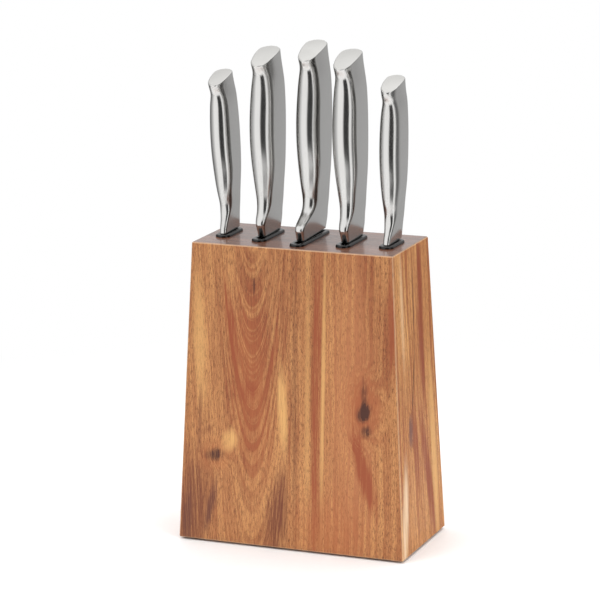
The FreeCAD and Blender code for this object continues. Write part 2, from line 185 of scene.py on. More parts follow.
def through(knots, values, at):
    """Natural cubic spline through values at knots, at any array of places: on each span
    left*value + right*next + ((left^3-left)*bend + (right^3-right)*next bend)*gap^2/6."""
    gap = np.diff(knots)
    inner = np.arange(1, len(knots) - 1)
    matrix = np.eye(len(knots))
    matrix[inner, inner - 1] = gap[:-1]
    matrix[inner, inner] = 2.0 * (gap[:-1] + gap[1:])
    matrix[inner, inner + 1] = gap[1:]
    side = np.zeros(len(knots))
    side[1:-1] = 6.0 * np.diff(np.diff(values) / gap)
    bend = np.linalg.solve(matrix, side)
    span = np.clip(np.searchsorted(knots, at) - 1, 0, len(gap) - 1)
    right = (at - knots[span]) / gap[span]
    left = 1.0 - right
    lift = (left ** 3 - left) * bend[span] + (right ** 3 - right) * bend[span + 1]
    return left * values[span] + right * values[span + 1] + lift * gap[span] ** 2 / 6.0


# ---- handles ----
def handle_ring():
    """Places round a handle's section, counter-clockwise from the middle of the front:
    reach along the front flat, turn of the front corner, share of the way back along the
    cheek, turn of the back corner, reach along the back flat, and which side."""
    flat, corner, cheek, back_corner, back_flat = 5, 12, 14, 8, 5
    whole = flat + corner + cheek + back_corner + back_flat
    step = np.arange(whole + 1)
    front_reach = np.clip(step / flat, 0.0, 1.0)
    front_turn = np.clip((step - flat) / corner, 0.0, 1.0) * QUARTER
    along = np.clip((step - flat - corner) / cheek, 0.0, 1.0)
    back_turn = np.clip((step - flat - corner - cheek) / back_corner, 0.0, 1.0) * QUARTER
    back_reach = 1.0 - np.clip((step - whole + back_flat) / back_flat, 0.0, 1.0)
    right = np.stack([front_reach, front_turn, along, back_turn, back_reach,
                      np.ones(whole + 1)])
    left = right[:, 1:-1][:, ::-1].copy()
    left[5] = -1.0
    return np.concatenate([right, left], axis=1)


def handle_stations(knife):
    """The handle's stations, with a longer guard and a stretched grip on the cook's knife."""
    rows = knife["handle"].copy()
    rows[:len(GUARD_SHARES), 1] -= knife["guard"] * GUARD_SHARES
    if knife["guard"] > 0.0:
        above = np.maximum(rows[:, 0] - NECK_HEIGHT, 0.0)
        rows[:, 0] += above * (COOK_STRETCH - 1.0)
    return rows


def handle_skin(rows, ring, z):
    """x and y of the handle's skin at heights z: an elliptical front corner, a straight
    cheek to a round back corner, all swollen sideways by swell*(1 - eta^2), where eta runs
    from -1 at the front to 1 at the back."""
    reach, turn, along, back_turn, back_reach, side = ring[:, None, :]
    front, back, half_front, half_back, round_x, round_y, round_back, swell = (
        through(rows[:, 0], rows[:, i], z) for i in range(1, 9))
    round_x = np.minimum(round_x, half_front - LEAST_FLAT)
    front_x = reach * (half_front - round_x) + round_x * np.sin(turn)
    front_y = front + round_y * (1.0 - np.cos(turn))
    back_x = back_reach * (half_back - round_back) + back_reach * round_back * np.cos(back_turn)
    back_y = back - round_back * (1.0 - np.sin(back_turn))
    x = front_x * (1.0 - along) + back_x * along
    y = front_y * (1.0 - along) + back_y * along
    eta = (2.0 * y - front - back) / (back - front)
    return side * x * (1.0 + swell * (1.0 - eta ** 2)), y


def rounded_in(x, y, inset):
    """The ring of points drawn in by inset towards its middle line, straight along x and y."""
    half_x = np.abs(x).max(1, keepdims=True)
    middle = (y.max(1, keepdims=True) + y.min(1, keepdims=True)) / 2.0
    half_y = (y.max(1, keepdims=True) - y.min(1, keepdims=True)) / 2.0
    return x * (1.0 - inset / half_x), middle + (y - middle) * (1.0 - inset / half_y)


def edge_rows(radius, count):
    """Insets and drops of a quarter round: inset 0 at the far end, drop 0 at the face."""
    turn = np.linspace(0.0, QUARTER, count)
    return radius * (1.0 - np.sin(turn)), radius * (1.0 - np.cos(turn))


def handle_grid(knife):
    """Handle and butt in one skin: a rounded foot, an even rise to the butt, a rounded rim,
    and a dome butt + slope*y + rise - (x^2 + (y - middle)^2)/(2*radius) over it."""
    rows = handle_stations(knife)
    ring = handle_ring()
    middle = (rows[-1, 1] + rows[-1, 2]) / 2.0

    def dome(x, y):
        spread = x ** 2 + ((y - middle) * math.hypot(1.0, BUTT_SLOPE)) ** 2
        return knife["butt"] + BUTT_SLOPE * y + BUTT_RISE - spread / (2.0 * BUTT_RADIUS)

    foot_in, foot_up = edge_rows(FOOT_EDGE, FOOT_RINGS)
    rim_down, rim_in = edge_rows(BUTT_EDGE, RIM_RINGS)
    below = np.zeros(FOOT_RINGS + 1)
    above = np.zeros(RIM_RINGS + FACE_RINGS)
    share = np.concatenate([below, np.linspace(0.004, 1.0, SIDE_RINGS), above + 1.0])[:, None]
    start = np.concatenate([[0.0], foot_up, np.full(SIDE_RINGS, FOOT_EDGE),
                            above + FOOT_EDGE])[:, None]
    down = np.concatenate([below, np.full(SIDE_RINGS, BUTT_EDGE), rim_down[1:],
                           np.zeros(1 + FACE_RINGS)])[:, None]
    inset = np.concatenate([[4.0 * FOOT_EDGE], foot_in, np.zeros(SIDE_RINGS), rim_in[1:],
                            [1.3 * BUTT_EDGE], np.full(FACE_RINGS, BUTT_EDGE)])[:, None]
    z = start + np.zeros(ring.shape[1])
    for _ in range(5):
        x, y = handle_skin(rows, ring, z)
        z = start + share * (dome(x, y) - down - start)
    x, y = rounded_in(x, y, inset)
    shrink = np.ones(len(share))
    shrink[-FACE_RINGS:] = np.linspace(0.96, 0.02, FACE_RINGS)
    x, y = x * shrink[:, None], middle + (y - middle) * shrink[:, None]
    z[-FACE_RINGS - 1:] = dome(x, y)[-FACE_RINGS - 1:]
    return np.stack([x, y, z], -1)


def blade_grid(knife):
    """Blade hung below the bolster: at each depth the section runs from the spine
    -drop*fall^power to the edge -heel + rise*depth^power, is full thick near the spine,
    thins evenly to the edge and ends in a fine bevel. Scallops lift the edge by a sine."""
    length, heel, kind = knife["blade"], knife["heel"], knife["edge"]
    drop, power = TIP_DROP[kind] * heel, EDGE_POWER[kind]
    t = np.linspace(1.0, 0.0, BLADE_ROWS[kind])
    fall = np.maximum(0.0, (t - SPINE_STRAIGHT) / (1.0 - SPINE_STRAIGHT))
    spine = -drop * fall ** SPINE_POWER
    edge = -heel + (heel - drop - TIP_BLUNT) * t ** power
    if kind == "scalloped":
        wave = np.abs(np.sin(math.pi * t * length / SCALLOP_PITCH))
        edge = edge + SCALLOP_DEPTH * wave * (1.0 - t ** power)
    width = (spine - edge)[:, None]
    bevel = np.minimum(BEVEL[kind], width * 0.4)
    across = np.concatenate([[0.0, 0.012, 0.03], np.linspace(0.08, 1.0, 10)])
    depth_in = np.concatenate([across * (width - bevel),
                               width - bevel * np.array([0.97, 0.6, 0.3, 0.0])], 1)
    y = spine[:, None] - depth_in
    full = -heel * FULL_THICK_SHARE
    thin = np.clip((full - y) / (full + heel + 1.0), 0.0, 1.0)
    half = (BLADE_THICK * (1.0 - thin) + EDGE_THICK * thin) / 2.0
    half = half * np.clip((width - depth_in) / bevel, 0.06, 1.0)
    half[:, 0] *= 0.7
    half[:, 1] *= 0.94
    x = np.concatenate([half[:, ::-1], -half], 1)
    y = np.concatenate([y[:, ::-1], y], 1)
    z = np.repeat(-length * t[:, None], x.shape[1], 1)
    z[-1] = TANG_RISE
    return np.stack([x, y - knife["inset"], z], -1)


def into_place(grid, name):
    """Carries a grid from the knife's own frame into the block's: its axes follow the
    slide joint, and its origin is read off the bolster's underside and back."""
    joint = next(j for j in frame["joints"] if j["name"] == name + "_lift")
    axis = np.array(joint["axis"])
    axis = axis / np.linalg.norm(axis)
    lean = math.asin(-axis[0])
    forward = math.atan2(-axis[1], axis[2])
    along_x = np.array([math.cos(lean), -math.sin(lean) * math.sin(forward),
                        math.sin(lean) * math.cos(forward)])
    along_y = np.array([0.0, math.cos(forward), math.sin(forward)])
    corners = node_points(name + "_bolster") / MM
    side, fore, up = corners @ along_x, corners @ along_y, corners @ axis
    origin = (along_x * (side.max() + side.min()) / 2.0
              + along_y * (fore.max() - KNIVES[name]["handle"][0, 2]) + axis * up.min())
    return (grid @ np.stack([along_x, along_y, axis]) + origin) * MM


def node_points(node):
    """The corners of a CAD node, in metres."""
    mesh = frame["nodes"][node].data
    flat = np.empty(len(mesh.vertices) * 3)
    mesh.vertices.foreach_get("co", flat)
    return flat.reshape(-1, 3)


# ---- liners and feet ----
def liner_profile():
    """Section of a liner, outwards from the slot's wall: offset, extra length at the ends,
    height above the block's top. Down the outside, in under the flange, down the sleeve,
    and back up the slot's wall over a rounded mouth."""
    turn = np.linspace(0.0, QUARTER, 8)
    mouth = np.stack([MOUTH_ROUND * (1.0 - np.cos(turn)), 0.0 * turn,
                      FLANGE_THICK - MOUTH_ROUND * (1.0 - np.sin(turn))], 1)
    rim = np.stack([FLANGE_OUT - FLANGE_ROUND * (1.0 - np.sin(turn)),
                    FLANGE_END_EXTRA + 0.0 * turn,
                    FLANGE_THICK - FLANGE_ROUND * (1.0 - np.cos(turn))], 1)
    under = np.array([(FLANGE_OUT, FLANGE_END_EXTRA, 0.0), (SLEEVE_OUT, 0.0, 0.0),
                      (SLEEVE_OUT, 0.0, -SLEEVE_DEPTH), (0.0, 0.0, -SLEEVE_DEPTH)])
    return np.concatenate([mouth, rim, under])


def liner_grid(knife, middle):
    """Liner: the profile carried round the slot's stadium, whose ends are half circles of
    the slot's half width plus the offset."""
    profile = liner_profile()[::-1, None, :]
    turn = np.concatenate([np.linspace(-QUARTER, QUARTER, 25),
                           np.linspace(QUARTER, 3.0 * QUARTER, 25)])
    end = np.repeat([1.0, -1.0], 25)
    radius = OPENING_HALF + profile[..., 0]
    straight = knife["opening"] / 2.0 - OPENING_HALF + profile[..., 1]
    x = middle[0] + radius * np.sin(-turn)
    y = middle[1] + straight * end + radius * np.cos(turn)
    z = middle[2] + profile[..., 2] + 0.0 * x
    return np.stack([x, y, z], -1) * MM


def foot_grid(low, high):
    """Rubber foot: a turned button with a rounded sole, as rings of 48 points."""
    middle = (low + high) / 2.0
    radius = (high[0] - low[0]) / 2.0
    turn = np.linspace(0.0, QUARTER, 7)
    soft = FOOT_ROUND * MM
    reach = np.concatenate([[radius * 0.3], radius - soft * (1.0 - np.sin(turn)),
                            [radius, radius * 0.98]])
    z = np.concatenate([[low[2] + FOOT_HOLLOW * MM], low[2] + soft * (1.0 - np.cos(turn)),
                        [high[2] - 0.1 * MM, high[2]]])
    around = np.linspace(0.0, 2.0 * math.pi, 48, endpoint=False)
    x = middle[0] + reach[:, None] * np.cos(around)
    y = middle[1] + reach[:, None] * np.sin(around)
    return np.stack([x, y, np.repeat(z[:, None], 48, 1)], -1)


# ---- node helpers ----
def put(tree, kind, values=None, **settings):
    """A node with its settings made and its sockets set to numbers or linked to outputs."""
    node = tree.nodes.new(kind)
    for key, value in settings.items():
        setattr(node, key, value)
    for key, value in (values or {}).items():
        if isinstance(value, bpy.types.NodeSocket):
            tree.links.new(value, node.inputs[key])
        else:
            node.inputs[key].default_value = value
    return node


def calc(tree, operation, first, second=0.0, third=0.0):
    """The output of a math node."""
    node = put(tree, "ShaderNodeMath", {0: first, 1: second, 2: third}, operation=operation)
    return node.outputs[0]


def ease(tree, value, start, end):
    """Smooth step of a value, from 0 at start to 1 at end."""
    return put(tree, "ShaderNodeMapRange",
               {"Value": value, "From Min": start, "From Max": end},
               interpolation_type="SMOOTHSTEP").outputs[0]


def mixed(tree, share, first, second):
    """The first colour turned into the second by a share from 0 to 1."""
    return put(tree, "ShaderNodeMix", {0: share, 6: first, 7: second},
               data_type="RGBA").outputs[2]


def combined(tree, x, y, z=0.0):
    """A place made of three numbers."""
    return put(tree, "ShaderNodeCombineXYZ", {0: x, 1: y, 2: z}).outputs[0]


def noise(tree, place, scale, detail=2.0, rough=0.5, distort=0.0):
    """The value of a fractal noise at a place, mostly 0.3 to 0.7."""
    node = put(tree, "ShaderNodeTexNoise", {"Vector": place, "Scale": scale, "Detail": detail,
                                            "Roughness": rough, "Distortion": distort})
    return node.outputs["Fac"]


def colour(red, green, blue):
    """A colour written the usual way, 0 to 255, as the linear values that shaders take."""
    share = np.array([red, green, blue]) / 255.0
    linear = np.where(share > 0.04045, ((share + 0.055) / 1.055) ** 2.4, share / 12.92)
    return (*linear.tolist(), 1.0)


def new_group(name, inputs, outputs):
    """An empty shader node group. Inputs and outputs are (name, kind, value)."""
    tree = bpy.data.node_groups.new(name, "ShaderNodeTree")
    kinds = {"number": "NodeSocketFloat", "colour": "NodeSocketColor", "vector": "NodeSocketVector"}
    for label, kind, value in inputs:
        socket = tree.interface.new_socket(label, in_out="INPUT", socket_type=kinds[kind])
        if value is not None:
            socket.default_value = value
    for label, kind in outputs:
        tree.interface.new_socket(label, in_out="OUTPUT", socket_type=kinds[kind])
    return tree, tree.nodes.new("NodeGroupInput"), tree.nodes.new("NodeGroupOutput")


def use(tree, group, values):
    """A shared effect placed in a material, with its own values."""
    return put(tree, "ShaderNodeGroup", values, node_tree=group)


def grain_noise(tree, across, along, across_scale, along_scale, detail, seed=0.0, rough=0.5):
    """A noise on a board, its scales per millimetre across and along the grain."""
    place = combined(tree, calc(tree, "MULTIPLY", across, across_scale),
                     calc(tree, "MULTIPLY", along, along_scale), seed)
    return noise(tree, place, 1.0, detail, rough)


# ---- shared effects ----
def timber_group():
    """Timber colour and relief. Growth lines are a noise along the Figure distance, broad
    tone and fibres are noises stretched along the grain, pores are short dark flecks."""
    tree, take, give = new_group(
        "Timber", [("Across", "number", 0.0), ("Along", "number", 0.0), ("Figure", "number", 0.0),
                   ("Pale", "colour", None), ("Deep", "colour", None), ("Pore", "colour", None),
                   ("Line Density", "number", 0.1), ("Line Strength", "number", 0.6),
                   ("Fleck", "number", 0.4), ("Seed", "number", 0.0)],
        [("Colour", "colour"), ("Height", "number"), ("Gloss Break", "number"),
         ("Streak", "number")])
    across, along, seed = take.outputs["Across"], take.outputs["Along"], take.outputs["Seed"]
    wander = grain_noise(tree, across, along, 0.05, 0.012, 3.0, seed)
    figure = calc(tree, "ADD", take.outputs["Figure"], calc(tree, "MULTIPLY", wander, 9.0))
    lines = grain_noise(tree, figure, along, take.outputs["Line Density"], 0.002, 4.0, seed, 0.62)
    lines = ease(tree, lines, 0.42, 0.58)
    broad = ease(tree, grain_noise(tree, across, along, 0.06, 0.009, 2.0, seed), 0.3, 0.7)
    fibre = grain_noise(tree, across, along, 1.3, 0.022, 3.0, seed, 0.6)
    fibre = ease(tree, fibre, 0.32, 0.68)
    pores = grain_noise(tree, across, along, 1.9, 0.22, 4.0, seed, 0.85)
    pores = ease(tree, pores, 0.49, 0.60)
    glints = grain_noise(tree, across, along, 2.1, 0.11, 1.0, calc(tree, "ADD", seed, 7.0))
    glints = ease(tree, glints, 0.58, 0.72)
    deepness = calc(tree, "MULTIPLY_ADD", lines, take.outputs["Line Strength"],
                    calc(tree, "MULTIPLY_ADD", broad, 0.4, calc(tree, "MULTIPLY", fibre, 0.3)))
    tone = mixed(tree, deepness, take.outputs["Pale"], take.outputs["Deep"])
    fleck = calc(tree, "MULTIPLY", pores, take.outputs["Fleck"])
    tone = mixed(tree, fleck, tone, take.outputs["Pore"])
    tone = mixed(tree, calc(tree, "MULTIPLY", glints, 0.22), tone, take.outputs["Pale"])
    height = calc(tree, "MULTIPLY_ADD", pores, -0.8, calc(tree, "MULTIPLY", fibre, 0.3))
    tree.links.new(tone, give.inputs["Colour"])
    tree.links.new(height, give.inputs["Height"])
    tree.links.new(calc(tree, "MULTIPLY_ADD", lines, 0.45, calc(tree, "MULTIPLY", fibre, 0.55)),
                   give.inputs["Streak"])
    tree.links.new(calc(tree, "MULTIPLY_ADD", pores, 0.6, calc(tree, "MULTIPLY", broad, 0.4)),
                   give.inputs["Gloss Break"])
    return tree


def patch_group():
    """A soft oval patch on a board, leaning with its length, its border frayed by a noise
    stretched along the grain. 1 in its middle, 0 outside."""
    tree, take, give = new_group(
        "Grain patch", [("Across", "number", 0.0), ("Along", "number", 0.0),
                        ("Middle Across", "number", 0.0), ("Middle Along", "number", 0.0),
                        ("Half Across", "number", 1.0), ("Half Along", "number", 1.0),
                        ("Lean", "number", 0.0), ("Fray", "number", 0.5)],
        [("Mask", "number")])
    up = calc(tree, "SUBTRACT", take.outputs["Along"], take.outputs["Middle Along"])
    over = calc(tree, "SUBTRACT", take.outputs["Across"], take.outputs["Middle Across"])
    over = calc(tree, "SUBTRACT", over, calc(tree, "MULTIPLY", up, take.outputs["Lean"]))
    over = calc(tree, "DIVIDE", over, take.outputs["Half Across"])
    up = calc(tree, "DIVIDE", up, take.outputs["Half Along"])
    far = calc(tree, "SQRT", calc(tree, "MULTIPLY_ADD", over, over, calc(tree, "MULTIPLY", up, up)))
    torn = grain_noise(tree, take.outputs["Across"], take.outputs["Along"], 0.55, 0.05, 3.0)
    far = calc(tree, "MULTIPLY_ADD", calc(tree, "SUBTRACT", torn, 0.5), take.outputs["Fray"], far)
    tree.links.new(ease(tree, far, 1.15, 0.25), give.inputs["Mask"])
    return tree


def scuff_group():
    """Fine marks of use: hair scratches from two stretched noises and soft smears."""
    tree, take, give = new_group(
        "Scuffs", [("Place", "vector", None), ("Smear Size", "number", 60.0)],
        [("Hairs", "number"), ("Smears", "number")])
    place = take.outputs["Place"]
    lengthways = put(tree, "ShaderNodeMapping", {"Vector": place, "Scale": (2600.0, 2600.0, 70.0)})
    crossways = put(tree, "ShaderNodeMapping", {"Vector": place, "Scale": (30.0, 45.0, 2400.0),
                                                "Rotation": (0.5, 0.9, 0.3)})
    hairs = calc(tree, "ADD", noise(tree, lengthways.outputs[0], 1.0, 2.0),
                 noise(tree, crossways.outputs[0], 1.0, 1.0))
    smears = noise(tree, place, take.outputs["Smear Size"], 3.0, 0.55, 0.6)
    tree.links.new(calc(tree, "MULTIPLY", hairs, 0.5), give.inputs["Hairs"])
    tree.links.new(ease(tree, smears, 0.35, 0.7), give.inputs["Smears"])
    return tree


TIMBER = timber_group()
PATCH = patch_group()
SCUFFS = scuff_group()


# ---- timber colours ----
RED_HEART = colour(168, 94, 56)
DARK_HEART = colour(112, 60, 40)
DARK_KNOT = colour(74, 42, 32)
HONEY = colour(206, 148, 92)
STRAW = colour(222, 172, 108)
CREAM = colour(238, 208, 172)
RUST = colour(148, 76, 46)
MAROON = colour(100, 56, 44)
PURPLE = colour(126, 84, 72)
TAN = colour(184, 118, 78)
BROWN = colour(96, 54, 36)


# Patches: tint, middle across and up, half size across and up, lean, share, fray, and how
# far the growth lines bend round it.
LEFT_BOARD_PATCHES = [
    (RED_HEART, -30.0, 118.0, 20.0, 86.0, -0.06, 0.5, 0.5, 0.0),
    (DARK_HEART, -76.0, 24.0, 17.0, 54.0, 0.1, 0.75, 1.1, 0.0),
    (DARK_HEART, -8.0, 26.0, 13.0, 46.0, 0.15, 0.8, 1.0, 0.0),
    (RUST, -45.5, 158.0, 4.6, 46.0, -0.13, 1.0, 0.8, 0.0),
    (RUST, -32.0, 114.0, 12.0, 10.0, 0.0, 0.9, 0.9, 0.0),
    (RUST, -13.5, 138.0, 2.8, 32.0, 0.19, 0.7, 0.8, 0.0),
    (STRAW, -47.0, 77.0, 8.0, 11.0, 0.2, 0.7, 0.9, 0.0),
    (STRAW, -6.0, 104.0, 4.6, 38.0, -0.05, 0.75, 0.6, 0.0),
    (STRAW, -70.0, 150.0, 6.0, 60.0, -0.03, 0.5, 0.9, 0.0),
    (RED_HEART, -58.5, 66.0, 17.0, 15.0, 0.3, 0.35, 0.5, 55.0),
    (DARK_KNOT, -58.5, 66.0, 8.5, 6.5, 0.3, 0.9, 1.0, 20.0),
    (MAROON, -80.0, 18.0, 4.0, 26.0, 0.05, 0.9, 0.9, 0.0),
    (MAROON, -62.0, 26.0, 4.0, 26.0, 0.22, 0.8, 1.0, 6.0),
    (DARK_HEART, -70.0, 92.0, 2.0, 28.0, 0.04, 0.6, 0.9, 0.0),
    (DARK_HEART, -64.0, 84.0, 5.0, 5.0, 0.8, 0.45, 0.9, 0.0),
    (DARK_KNOT, -28.0, 192.0, 0.9, 8.0, 0.0, 0.7, 0.3, 0.0),
]
RIGHT_BOARD_PATCHES = [
    (TAN, 46.0, 100.0, 24.0, 150.0, 0.0, 0.5, 0.9, 0.0),
    (BROWN, 3.0, 110.0, 3.0, 150.0, 0.0, 0.3, 1.2, 0.0),
    (RUST, 19.8, 115.0, 3.8, 160.0, 0.01, 1.1, 0.5, 0.0),
    (STRAW, 24.9, 115.0, 2.0, 140.0, 0.01, 0.55, 0.4, 0.0),
    (STRAW, 13.0, 120.0, 2.4, 130.0, 0.0, 0.4, 0.8, 0.0),
    (RED_HEART, 30.0, 20.0, 34.0, 34.0, 0.0, 0.4, 0.9, 0.0),
    (RUST, 54.0, 108.0, 10.0, 26.0, 0.0, 0.6, 1.2, 10.0),
    (RED_HEART, 56.0, 109.0, 19.0, 32.0, 0.0, 0.35, 0.4, 26.0),
    (DARK_KNOT, 56.0, 118.0, 3.4, 15.0, 0.0, 0.5, 1.1, 0.0),
    (DARK_KNOT, 56.0, 107.0, 6.2, 9.0, 0.2, 1.2, 0.9, 9.0),
    (DARK_KNOT, 57.5, 93.0, 5.0, 6.5, 0.0, 0.75, 1.0, 4.0),
    (RUST, 56.0, 64.0, 7.0, 36.0, -0.28, 1.3, 0.7, 0.0),
    (RUST, 76.0, 168.0, 3.6, 48.0, -0.04, 0.7, 0.7, 0.0),
]
RIGHT_SIDE_PATCHES = [
    (CREAM, -36.0, 30.0, 7.0, 48.0, 0.14, 0.9, 0.4, 0.0),
    (RUST, -8.0, 74.0, 8.0, 46.0, -0.1, 0.9, 0.8, 0.0),
    (PURPLE, -17.0, 89.0, 5.5, 15.0, 0.05, 1.1, 0.8, 18.0),
    (BROWN, -1.0, 174.0, 1.2, 42.0, 0.056, 0.9, 0.3, 0.0),
    (BROWN, -7.5, 122.0, 1.6, 26.0, 0.236, 0.9, 0.3, 0.0),
    (RUST, 13.0, 160.0, 8.0, 82.0, 0.03, 1.3, 0.5, 0.0),
    (RUST, 14.0, 52.0, 8.0, 66.0, -0.2, 1.3, 0.6, 0.0),
    (STRAW, 29.0, 60.0, 7.0, 90.0, -0.02, 0.9, 0.6, 0.0),
    (CREAM, -24.0, 176.0, 3.6, 52.0, 0.03, 0.45, 0.6, 0.0),
]
LEFT_SIDE_PATCHES = [
    (TAN, -14.0, 130.0, 5.0, 90.0, 0.04, 0.55, 0.7, 0.0),
    (STRAW, 22.0, 90.0, 6.0, 100.0, 0.02, 0.45, 0.7, 0.0),
    (MAROON, 8.0, 62.0, 3.6, 9.0, 0.1, 0.6, 0.8, 9.0),
]
BACK_LEFT_PATCHES = [
    (RUST, -40.0, 140.0, 5.0, 70.0, 0.05, 0.5, 0.7, 0.0),
    (STRAW, -62.0, 80.0, 6.0, 90.0, 0.0, 0.5, 0.7, 0.0),
    (DARK_KNOT, -22.0, 70.0, 4.0, 10.0, 0.0, 0.7, 0.7, 10.0),
]
BACK_RIGHT_PATCHES = [
    (TAN, 38.0, 150.0, 8.0, 60.0, 0.0, 0.5, 0.8, 0.0),
    (RUST, 64.0, 90.0, 4.0, 110.0, -0.03, 0.5, 0.7, 0.0),
]


# ---- materials ----
def new_material(name):
    """A material with its node tree and its shader."""
    material = bpy.data.materials.new(name)
    material.use_nodes = True
    tree = material.node_tree
    return material, tree, tree.nodes["Principled BSDF"]


def in_millimetres(tree):
    """x, y and z of the surface in millimetres, as three outputs."""
    scaled = put(tree, "ShaderNodeVectorMath", {0: object_place(tree), "Scale": 1.0 / MM},
                 operation="SCALE")
    return put(tree, "ShaderNodeSeparateXYZ", {0: scaled.outputs[0]}).outputs


def object_place(tree):
    """The place of the surface in the object, in metres."""
    return put(tree, "ShaderNodeTexCoord").outputs["Object"]


def finish(tree, shader, tone, rough, height, strength, distance):
    """Gives the shader its colour, its roughness, and a relief of a height."""
    bump = put(tree, "ShaderNodeBump", {"Height": height, "Strength": strength,
                                        "Distance": distance})
    tree.links.new(tone, shader.inputs["Base Color"])
    tree.links.new(rough, shader.inputs["Roughness"])
    tree.links.new(bump.outputs[0], shader.inputs["Normal"])


def lacquered(tree, shader, wood, tone, coat, rough, shine):
    """Satin lacquer over timber: relief from the pores, gloss broken by them."""
    shader.inputs["Specular IOR Level"].default_value = shine
    shader.inputs["Coat Weight"].default_value = coat
    shader.inputs["Coat Roughness"].default_value = 0.16
    shader.inputs["Coat IOR"].default_value = 1.5
    rough = calc(tree, "MULTIPLY_ADD", wood.outputs["Gloss Break"], 0.2, rough)
    finish(tree, shader, tone, rough, wood.outputs["Height"], 0.25, 0.2 * MM)


def patch_mask(tree, across, along, over, up, half_over, half_up, lean=0.0, fray=0.5):
    """The mask of one patch: its middle across and up, its half sizes, its lean and fray."""
    return use(tree, PATCH, {"Across": across, "Along": along, "Middle Across": over,
                             "Middle Along": up, "Half Across": half_over,
                             "Half Along": half_up, "Lean": lean, "Fray": fray}).outputs[0]


def board_material(name, across_axis, along_axis, pale, deep, seed, patches=(), arch=None,
                   zone=None, density=0.3, strength=0.5, fleck=0.6, coat=0.12, rough=0.42,
                   shine=0.25):
    """Lacquered timber of one board. Straight growth lines run across the board, or arch
    as along - curve*(across - middle)^2 where an arch (middle, curve) is given. A zone
    (middle across and up, half size across and up) is where the lines show most."""
    material, tree, shader = new_material(name)
    axes = in_millimetres(tree)
    across, along = axes[across_axis], axes[along_axis]
    figure = across
    if arch:
        off = calc(tree, "SUBTRACT", across, arch[0])
        drop = calc(tree, "MULTIPLY", calc(tree, "MULTIPLY", off, off), arch[1])
        figure = calc(tree, "SUBTRACT", along, drop)
    masks = []
    for tint, over, up, half_over, half_up, lean, share, fray, push in patches:
        mask = patch_mask(tree, across, along, over, up, half_over, half_up, lean, fray)
        masks.append((mask, tint, share))
        if push:
            figure = calc(tree, "MULTIPLY_ADD", mask, push, figure)
    if zone:
        mask = patch_mask(tree, across, along, *zone)
        strength = calc(tree, "MULTIPLY_ADD", mask, 0.65 * strength, 0.35 * strength)
    wood = use(tree, TIMBER, {"Across": across, "Along": along, "Figure": figure, "Pale": pale,
                              "Deep": deep, "Pore": BROWN, "Line Density": density,
                              "Line Strength": strength, "Fleck": fleck, "Seed": seed})
    tone = wood.outputs["Colour"]
    streak = calc(tree, "MULTIPLY_ADD", wood.outputs["Streak"], 0.9, 0.5)
    for mask, tint, share in masks:
        cover = put(tree, "ShaderNodeMath", {0: calc(tree, "MULTIPLY", mask, share), 1: streak},
                    operation="MULTIPLY", use_clamp=True)
        tone = mixed(tree, cover.outputs[0], tone, tint)
    # Cream tint on the chamfers: partly paler worn wood, partly a painted highlight where the edges
    # catch the light.
    tone = mixed(tree, calc(tree, "MULTIPLY", chamfer_wear_and_highlight(tree), 0.28), tone, CREAM)
    lacquered(tree, shader, wood, tone, coat, rough, shine)
    return material


def chamfer_wear_and_highlight(tree):
    """1 on the narrow slopes that break a board's edges, 0 on its faces, for a cream tint there
    that is partly paler worn wood and partly a painted highlight of the chamfers catching the
    light: the products of the surface direction's parts, two by two, add up to much only where it
    faces askew."""
    facing = put(tree, "ShaderNodeNewGeometry").outputs["True Normal"]
    parts = put(tree, "ShaderNodeVectorMath", {0: facing}, operation="ABSOLUTE").outputs[0]
    x, y, z = put(tree, "ShaderNodeSeparateXYZ", {0: parts}).outputs
    askew = calc(tree, "MULTIPLY_ADD", x, y, calc(tree, "MULTIPLY", y, z))
    askew = calc(tree, "MULTIPLY_ADD", x, z, askew)
    return ease(tree, askew, 0.2, 0.4)


def plastic_material():
    """Gloss black moulded plastic with a faint orange-peel and smears."""
    material, tree, shader = new_material("slot plastic")
    place = object_place(tree)
    marks = use(tree, SCUFFS, {"Place": place, "Smear Size": 90.0})
    shader.inputs["Specular IOR Level"].default_value = 0.5
    tone = mixed(tree, marks.outputs["Smears"], colour(8, 8, 9), colour(15, 14, 14))
    peel = noise(tree, place, 900.0, 2.0)
    height = calc(tree, "MULTIPLY_ADD", marks.outputs["Hairs"], 0.3, peel)
    rough = calc(tree, "MULTIPLY_ADD", marks.outputs["Smears"], 0.08, 0.14)
    finish(tree, shader, tone, rough, height, 0.1, 0.1 * MM)
    return material


def rubber_material():
    """Dull dark rubber with a fine grain and dusty high spots."""
    material, tree, shader = new_material("foot rubber")
    place = object_place(tree)
    grain = noise(tree, place, 2400.0, 3.0)
    dust = ease(tree, noise(tree, place, 260.0, 4.0), 0.45, 0.7)
    tone = mixed(tree, calc(tree, "MULTIPLY", dust, 0.5), colour(26, 25, 25), colour(62, 59, 55))
    finish(tree, shader, tone, calc(tree, "MULTIPLY_ADD", dust, 0.15, 0.7), grain, 0.35,
           0.2 * MM)
    return material


def steel_material(name, tint, dull, spread, hair=0.05, smear_size=45.0):
    """Stainless steel: hair scratches in the relief, smears in the gloss and the tint."""
    material, tree, shader = new_material(name)
    shader.inputs["Metallic"].default_value = 1.0
    marks = use(tree, SCUFFS, {"Place": object_place(tree), "Smear Size": smear_size})
    darker = (*(0.9 * part for part in tint[:3]), 1.0)
    tone = mixed(tree, calc(tree, "MULTIPLY", marks.outputs["Smears"], 0.2), tint, darker)
    rough = calc(tree, "MULTIPLY_ADD", marks.outputs["Smears"], spread, dull)
    rough = calc(tree, "MULTIPLY_ADD", marks.outputs["Hairs"], spread, rough)
    finish(tree, shader, tone, rough, marks.outputs["Hairs"], hair, 0.05 * MM)
    return material


# ---- the object ----
def give(piece, material):
    """Makes a material the only one on a piece."""
    piece.data.materials.clear()
    piece.data.materials.append(material)


